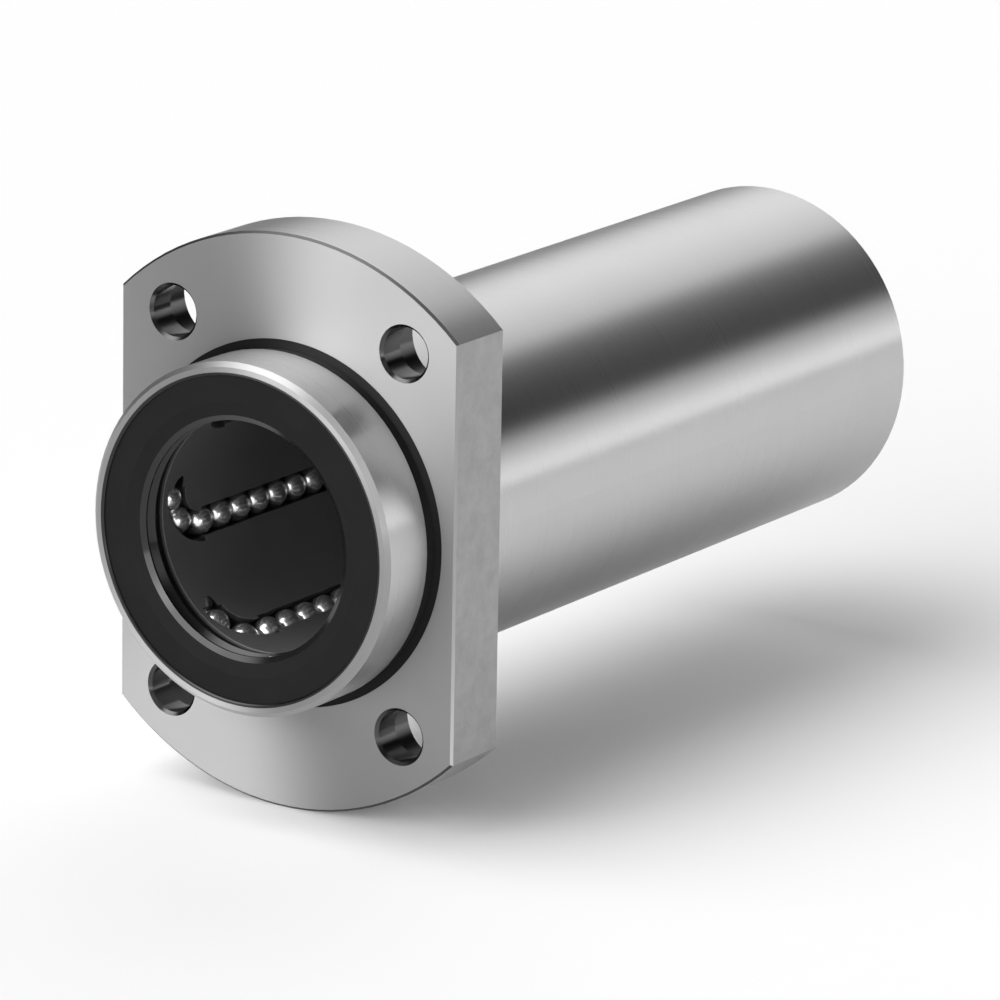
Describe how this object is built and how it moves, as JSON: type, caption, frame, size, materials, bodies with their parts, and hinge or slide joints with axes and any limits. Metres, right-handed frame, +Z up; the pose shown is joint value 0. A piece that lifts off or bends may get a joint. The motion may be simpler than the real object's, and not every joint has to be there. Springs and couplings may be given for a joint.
{
  "type": "double-wide flanged linear bushing",
  "caption": "Extra-long flanged linear ball bushing with a short pilot end and a flange cut flat at its sides; a shaft slides through on recirculating balls between end seals.",
  "frame": {"origin": "on the shaft axis, in the front seating face of the flange", "axes": "+Y along the shaft axis from the pilot end to the rear end, +X square to the flange's flats, +Z up along the flats"},
  "size_m": [0.051, 0.123, 0.074],
  "materials": {
    "bearing_steel": "fine ground, satin on the flats",
    "retainer_resin": "smooth moulded",
    "seal_rubber": "satin",
    "spring_steel": "oiled spring steel",
    "ball_steel": "polished"
  },
  "bodies": {
    "bushing": {"outer_cylinder": "bearing_steel", "front_retainer": "retainer_resin", "rear_retainer": "retainer_resin", "front_seal": "seal_rubber", "rear_seal": "seal_rubber", "front_stop_ring": "spring_steel", "rear_stop_ring": "spring_steel"},
    "front_load_row_1": {"front_load_row_1": "ball_steel"},
    "front_return_row_1": {"front_return_row_1": "ball_steel"},
    "front_front_turn_1": {"front_front_turn_1": "ball_steel"},
    "front_rear_turn_1": {"front_rear_turn_1": "ball_steel"},
    "front_load_row_2": {"front_load_row_2": "ball_steel"},
    "front_return_row_2": {"front_return_row_2": "ball_steel"},
    "front_front_turn_2": {"front_front_turn_2": "ball_steel"},
    "front_rear_turn_2": {"front_rear_turn_2": "ball_steel"},
    "front_load_row_3": {"front_load_row_3": "ball_steel"},
    "front_return_row_3": {"front_return_row_3": "ball_steel"},
    "front_front_turn_3": {"front_front_turn_3": "ball_steel"},
    "front_rear_turn_3": {"front_rear_turn_3": "ball_steel"},
    "front_load_row_4": {"front_load_row_4": "ball_steel"},
    "front_return_row_4": {"front_return_row_4": "ball_steel"},
    "front_front_turn_4": {"front_front_turn_4": "ball_steel"},
    "front_rear_turn_4": {"front_rear_turn_4": "ball_steel"},
    "front_load_row_5": {"front_load_row_5": "ball_steel"},
    "front_return_row_5": {"front_return_row_5": "ball_steel"},
    "front_front_turn_5": {"front_front_turn_5": "ball_steel"},
    "front_rear_turn_5": {"front_rear_turn_5": "ball_steel"},
    "front_load_row_6": {"front_load_row_6": "ball_steel"},
    "front_return_row_6": {"front_return_row_6": "ball_steel"},
    "front_front_turn_6": {"front_front_turn_6": "ball_steel"},
    "front_rear_turn_6": {"front_rear_turn_6": "ball_steel"},
    "rear_load_row_1": {"rear_load_row_1": "ball_steel"},
    "rear_return_row_1": {"rear_return_row_1": "ball_steel"},
    "rear_front_turn_1": {"rear_front_turn_1": "ball_steel"},
    "rear_rear_turn_1": {"rear_rear_turn_1": "ball_steel"},
    "rear_load_row_2": {"rear_load_row_2": "ball_steel"},
    "rear_return_row_2": {"rear_return_row_2": "ball_steel"},
    "rear_front_turn_2": {"rear_front_turn_2": "ball_steel"},
    "rear_rear_turn_2": {"rear_rear_turn_2": "ball_steel"},
    "rear_load_row_3": {"rear_load_row_3": "ball_steel"},
    "rear_return_row_3": {"rear_return_row_3": "ball_steel"},
    "rear_front_turn_3": {"rear_front_turn_3": "ball_steel"},
    "rear_rear_turn_3": {"rear_rear_turn_3": "ball_steel"},
    "rear_load_row_4": {"rear_load_row_4": "ball_steel"},
    "rear_return_row_4": {"rear_return_row_4": "ball_steel"},
    "rear_front_turn_4": {"rear_front_turn_4": "ball_steel"},
    "rear_rear_turn_4": {"rear_rear_turn_4": "ball_steel"},
    "rear_load_row_5": {"rear_load_row_5": "ball_steel"},
    "rear_return_row_5": {"rear_return_row_5": "ball_steel"},
    "rear_front_turn_5": {"rear_front_turn_5": "ball_steel"},
    "rear_rear_turn_5": {"rear_rear_turn_5": "ball_steel"},
    "rear_load_row_6": {"rear_load_row_6": "ball_steel"},
    "rear_return_row_6": {"rear_return_row_6": "ball_steel"},
    "rear_front_turn_6": {"rear_front_turn_6": "ball_steel"},
    "rear_rear_turn_6": {"rear_rear_turn_6": "ball_steel"}
  },
  "joints": [
    {"name": "front_circuit_1_load", "type": "slide", "parent": "bushing", "child": "front_load_row_1", "axis": [0, 1, 0], "range_m": [-0.00093, 0.00312]},
    {"name": "front_circuit_1_return", "type": "slide", "parent": "bushing", "child": "front_return_row_1", "axis": [0, 1, 0], "range_m": [-0.00314, 0.00095]},
    {"name": "front_circuit_1_front_turn", "type": "hinge", "parent": "bushing", "child": "front_front_turn_1", "pos_m": [0.01707, 0.00329, -0.00192], "axis": [-0.999, 0, 0.0447], "range_deg": [-10.65, 34.95]},
    {"name": "front_circuit_1_rear_turn", "type": "hinge", "parent": "bushing", "child": "front_rear_turn_1", "pos_m": [0.01707, 0.03974, -0.00192], "axis": [-0.999, 0, 0.0447], "range_deg": [-10.65, 34.95]},
    {"name": "front_circuit_2_load", "type": "slide", "parent": "bushing", "child": "front_load_row_2", "axis": [0, 1, 0], "range_m": [-0.00093, 0.00312]},
    {"name": "front_circuit_2_return", "type": "slide", "parent": "bushing", "child": "front_return_row_2", "axis": [0, 1, 0], "range_m": [-0.00314, 0.00095]},
    {"name": "front_circuit_2_front_turn", "type": "hinge", "parent": "bushing", "child": "front_front_turn_2", "pos_m": [0.0102, 0.00329, 0.01383], "axis": [-0.5382, 0, -0.8428], "range_deg": [-10.65, 34.95]},
    {"name": "front_circuit_2_rear_turn", "type": "hinge", "parent": "bushing", "child": "front_rear_turn_2", "pos_m": [0.0102, 0.03974, 0.01383], "axis": [-0.5382, 0, -0.8428], "range_deg": [-10.65, 34.95]},
    {"name": "front_circuit_3_load", "type": "slide", "parent": "bushing", "child": "front_load_row_3", "axis": [0, 1, 0], "range_m": [-0.00093, 0.00312]},
    {"name": "front_circuit_3_return", "type": "slide", "parent": "bushing", "child": "front_return_row_3", "axis": [0, 1, 0], "range_m": [-0.00314, 0.00095]},
    {"name": "front_circuit_3_front_turn", "type": "hinge", "parent": "bushing", "child": "front_front_turn_3", "pos_m": [-0.00687, 0.00329, 0.01575], "axis": [0.4608, 0, -0.8875], "range_deg": [-10.65, 34.95]},
    {"name": "front_circuit_3_rear_turn", "type": "hinge", "parent": "bushing", "child": "front_rear_turn_3", "pos_m": [-0.00687, 0.03974, 0.01575], "axis": [0.4608, 0, -0.8875], "range_deg": [-10.65, 34.95]},
    {"name": "front_circuit_4_load", "type": "slide", "parent": "bushing", "child": "front_load_row_4", "axis": [0, 1, 0], "range_m": [-0.00093, 0.00312]},
    {"name": "front_circuit_4_return", "type": "slide", "parent": "bushing", "child": "front_return_row_4", "axis": [0, 1, 0], "range_m": [-0.00314, 0.00095]},
    {"name": "front_circuit_4_front_turn", "type": "hinge", "parent": "bushing", "child": "front_front_turn_4", "pos_m": [-0.01707, 0.00329, 0.00192], "axis": [0.999, 0, -0.0447], "range_deg": [-10.65, 34.95]},
    {"name": "front_circuit_4_rear_turn", "type": "hinge", "parent": "bushing", "child": "front_rear_turn_4", "pos_m": [-0.01707, 0.03974, 0.00192], "axis": [0.999, 0, -0.0447], "range_deg": [-10.65, 34.95]},
    {"name": "front_circuit_5_load", "type": "slide", "parent": "bushing", "child": "front_load_row_5", "axis": [0, 1, 0], "range_m": [-0.00093, 0.00312]},
    {"name": "front_circuit_5_return", "type": "slide", "parent": "bushing", "child": "front_return_row_5", "axis": [0, 1, 0], "range_m": [-0.00314, 0.00095]},
    {"name": "front_circuit_5_front_turn", "type": "hinge", "parent": "bushing", "child": "front_front_turn_5", "pos_m": [-0.0102, 0.00329, -0.01383], "axis": [0.5382, 0, 0.8428], "range_deg": [-10.65, 34.95]},
    {"name": "front_circuit_5_rear_turn", "type": "hinge", "parent": "bushing", "child": "front_rear_turn_5", "pos_m": [-0.0102, 0.03974, -0.01383], "axis": [0.5382, 0, 0.8428], "range_deg": [-10.65, 34.95]},
    {"name": "front_circuit_6_load", "type": "slide", "parent": "bushing", "child": "front_load_row_6", "axis": [0, 1, 0], "range_m": [-0.00093, 0.00312]},
    {"name": "front_circuit_6_return", "type": "slide", "parent": "bushing", "child": "front_return_row_6", "axis": [0, 1, 0], "range_m": [-0.00314, 0.00095]},
    {"name": "front_circuit_6_front_turn", "type": "hinge", "parent": "bushing", "child": "front_front_turn_6", "pos_m": [0.00687, 0.00329, -0.01575], "axis": [-0.4608, 0, 0.8875], "range_deg": [-10.65, 34.95]},
    {"name": "front_circuit_6_rear_turn", "type": "hinge", "parent": "bushing", "child": "front_rear_turn_6", "pos_m": [0.00687, 0.03974, -0.01575], "axis": [-0.4608, 0, 0.8875], "range_deg": [-10.65, 34.95]},
    {"name": "rear_circuit_1_load", "type": "slide", "parent": "bushing", "child": "rear_load_row_1", "axis": [0, 1, 0], "range_m": [-0.00093, 0.00312]},
    {"name": "rear_circuit_1_return", "type": "slide", "parent": "bushing", "child": "rear_return_row_1", "axis": [0, 1, 0], "range_m": [-0.00314, 0.00095]},
    {"name": "rear_circuit_1_front_turn", "type": "hinge", "parent": "bushing", "child": "rear_front_turn_1", "pos_m": [0.01707, 0.06326, -0.00192], "axis": [-0.999, 0, 0.0447], "range_deg": [-10.65, 34.95]},
    {"name": "rear_circuit_1_rear_turn", "type": "hinge", "parent": "bushing", "child": "rear_rear_turn_1", "pos_m": [0.01707, 0.09971, -0.00192], "axis": [-0.999, 0, 0.0447], "range_deg": [-10.65, 34.95]},
    {"name": "rear_circuit_2_load", "type": "slide", "parent": "bushing", "child": "rear_load_row_2", "axis": [0, 1, 0], "range_m": [-0.00093, 0.00312]},
    {"name": "rear_circuit_2_return", "type": "slide", "parent": "bushing", "child": "rear_return_row_2", "axis": [0, 1, 0], "range_m": [-0.00314, 0.00095]},
    {"name": "rear_circuit_2_front_turn", "type": "hinge", "parent": "bushing", "child": "rear_front_turn_2", "pos_m": [0.0102, 0.06326, 0.01383], "axis": [-0.5382, 0, -0.8428], "range_deg": [-10.65, 34.95]},
    {"name": "rear_circuit_2_rear_turn", "type": "hinge", "parent": "bushing", "child": "rear_rear_turn_2", "pos_m": [0.0102, 0.09971, 0.01383], "axis": [-0.5382, 0, -0.8428], "range_deg": [-10.65, 34.95]},
    {"name": "rear_circuit_3_load", "type": "slide", "parent": "bushing", "child": "rear_load_row_3", "axis": [0, 1, 0], "range_m": [-0.00093, 0.00312]},
    {"name": "rear_circuit_3_return", "type": "slide", "parent": "bushing", "child": "rear_return_row_3", "axis": [0, 1, 0], "range_m": [-0.00314, 0.00095]},
    {"name": "rear_circuit_3_front_turn", "type": "hinge", "parent": "bushing", "child": "rear_front_turn_3", "pos_m": [-0.00687, 0.06326, 0.01575], "axis": [0.4608, 0, -0.8875], "range_deg": [-10.65, 34.95]},
    {"name": "rear_circuit_3_rear_turn", "type": "hinge", "parent": "bushing", "child": "rear_rear_turn_3", "pos_m": [-0.00687, 0.09971, 0.01575], "axis": [0.4608, 0, -0.8875], "range_deg": [-10.65, 34.95]},
    {"name": "rear_circuit_4_load", "type": "slide", "parent": "bushing", "child": "rear_load_row_4", "axis": [0, 1, 0], "range_m": [-0.00093, 0.00312]},
    {"name": "rear_circuit_4_return", "type": "slide", "parent": "bushing", "child": "rear_return_row_4", "axis": [0, 1, 0], "range_m": [-0.00314, 0.00095]},
    {"name": "rear_circuit_4_front_turn", "type": "hinge", "parent": "bushing", "child": "rear_front_turn_4", "pos_m": [-0.01707, 0.06326, 0.00192], "axis": [0.999, 0, -0.0447], "range_deg": [-10.65, 34.95]},
    {"name": "rear_circuit_4_rear_turn", "type": "hinge", "parent": "bushing", "child": "rear_rear_turn_4", "pos_m": [-0.01707, 0.09971, 0.00192], "axis": [0.999, 0, -0.0447], "range_deg": [-10.65, 34.95]},
    {"name": "rear_circuit_5_load", "type": "slide", "parent": "bushing", "child": "rear_load_row_5", "axis": [0, 1, 0], "range_m": [-0.00093, 0.00312]},
    {"name": "rear_circuit_5_return", "type": "slide", "parent": "bushing", "child": "rear_return_row_5", "axis": [0, 1, 0], "range_m": [-0.00314, 0.00095]},
    {"name": "rear_circuit_5_front_turn", "type": "hinge", "parent": "bushing", "child": "rear_front_turn_5", "pos_m": [-0.0102, 0.06326, -0.01383], "axis": [0.5382, 0, 0.8428], "range_deg": [-10.65, 34.95]},
    {"name": "rear_circuit_5_rear_turn", "type": "hinge", "parent": "bushing", "child": "rear_rear_turn_5", "pos_m": [-0.0102, 0.09971, -0.01383], "axis": [0.5382, 0, 0.8428], "range_deg": [-10.65, 34.95]},
    {"name": "rear_circuit_6_load", "type": "slide", "parent": "bushing", "child": "rear_load_row_6", "axis": [0, 1, 0], "range_m": [-0.00093, 0.00312]},
    {"name": "rear_circuit_6_return", "type": "slide", "parent": "bushing", "child": "rear_return_row_6", "axis": [0, 1, 0], "range_m": [-0.00314, 0.00095]},
    {"name": "rear_circuit_6_front_turn", "type": "hinge", "parent": "bushing", "child": "rear_front_turn_6", "pos_m": [0.00687, 0.06326, -0.01575], "axis": [-0.4608, 0, 0.8875], "range_deg": [-10.65, 34.95]},
    {"name": "rear_circuit_6_rear_turn", "type": "hinge", "parent": "bushing", "child": "rear_rear_turn_6", "pos_m": [0.00687, 0.09971, -0.01575], "axis": [-0.4608, 0, 0.8875], "range_deg": [-10.65, 34.95]}
  ],
  "couplings": [
    {"joint": "front_circuit_1_return", "follows": "front_circuit_1_load", "ratio": -1},
    {"joint": "front_circuit_1_front_turn", "follows": "front_circuit_1_load", "rad_per_m": 193.93},
    {"joint": "front_circuit_1_rear_turn", "follows": "front_circuit_1_load", "rad_per_m": 193.93},
    {"joint": "front_circuit_2_return", "follows": "front_circuit_2_load", "ratio": -1},
    {"joint": "front_circuit_2_front_turn", "follows": "front_circuit_2_load", "rad_per_m": 193.93},
    {"joint": "front_circuit_2_rear_turn", "follows": "front_circuit_2_load", "rad_per_m": 193.93},
    {"joint": "front_circuit_3_return", "follows": "front_circuit_3_load", "ratio": -1},
    {"joint": "front_circuit_3_front_turn", "follows": "front_circuit_3_load", "rad_per_m": 193.93},
    {"joint": "front_circuit_3_rear_turn", "follows": "front_circuit_3_load", "rad_per_m": 193.93},
    {"joint": "front_circuit_4_return", "follows": "front_circuit_4_load", "ratio": -1},
    {"joint": "front_circuit_4_front_turn", "follows": "front_circuit_4_load", "rad_per_m": 193.93},
    {"joint": "front_circuit_4_rear_turn", "follows": "front_circuit_4_load", "rad_per_m": 193.93},
    {"joint": "front_circuit_5_return", "follows": "front_circuit_5_load", "ratio": -1},
    {"joint": "front_circuit_5_front_turn", "follows": "front_circuit_5_load", "rad_per_m": 193.93},
    {"joint": "front_circuit_5_rear_turn", "follows": "front_circuit_5_load", "rad_per_m": 193.93},
    {"joint": "front_circuit_6_return", "follows": "front_circuit_6_load", "ratio": -1},
    {"joint": "front_circuit_6_front_turn", "follows": "front_circuit_6_load", "rad_per_m": 193.93},
    {"joint": "front_circuit_6_rear_turn", "follows": "front_circuit_6_load", "rad_per_m": 193.93},
    {"joint": "rear_circuit_1_return", "follows": "rear_circuit_1_load", "ratio": -1},
    {"joint": "rear_circuit_1_front_turn", "follows": "rear_circuit_1_load", "rad_per_m": 193.93},
    {"joint": "rear_circuit_1_rear_turn", "follows": "rear_circuit_1_load", "rad_per_m": 193.93},
    {"joint": "rear_circuit_2_return", "follows": "rear_circuit_2_load", "ratio": -1},
    {"joint": "rear_circuit_2_front_turn", "follows": "rear_circuit_2_load", "rad_per_m": 193.93},
    {"joint": "rear_circuit_2_rear_turn", "follows": "rear_circuit_2_load", "rad_per_m": 193.93},
    {"joint": "rear_circuit_3_return", "follows": "rear_circuit_3_load", "ratio": -1},
    {"joint": "rear_circuit_3_front_turn", "follows": "rear_circuit_3_load", "rad_per_m": 193.93},
    {"joint": "rear_circuit_3_rear_turn", "follows": "rear_circuit_3_load", "rad_per_m": 193.93},
    {"joint": "rear_circuit_4_return", "follows": "rear_circuit_4_load", "ratio": -1},
    {"joint": "rear_circuit_4_front_turn", "follows": "rear_circuit_4_load", "rad_per_m": 193.93},
    {"joint": "rear_circuit_4_rear_turn", "follows": "rear_circuit_4_load", "rad_per_m": 193.93},
    {"joint": "rear_circuit_5_return", "follows": "rear_circuit_5_load", "ratio": -1},
    {"joint": "rear_circuit_5_front_turn", "follows": "rear_circuit_5_load", "rad_per_m": 193.93},
    {"joint": "rear_circuit_5_rear_turn", "follows": "rear_circuit_5_load", "rad_per_m": 193.93},
    {"joint": "rear_circuit_6_return", "follows": "rear_circuit_6_load", "ratio": -1},
    {"joint": "rear_circuit_6_front_turn", "follows": "rear_circuit_6_load", "rad_per_m": 193.93},
    {"joint": "rear_circuit_6_rear_turn", "follows": "rear_circuit_6_load", "rad_per_m": 193.93}
  ]
}
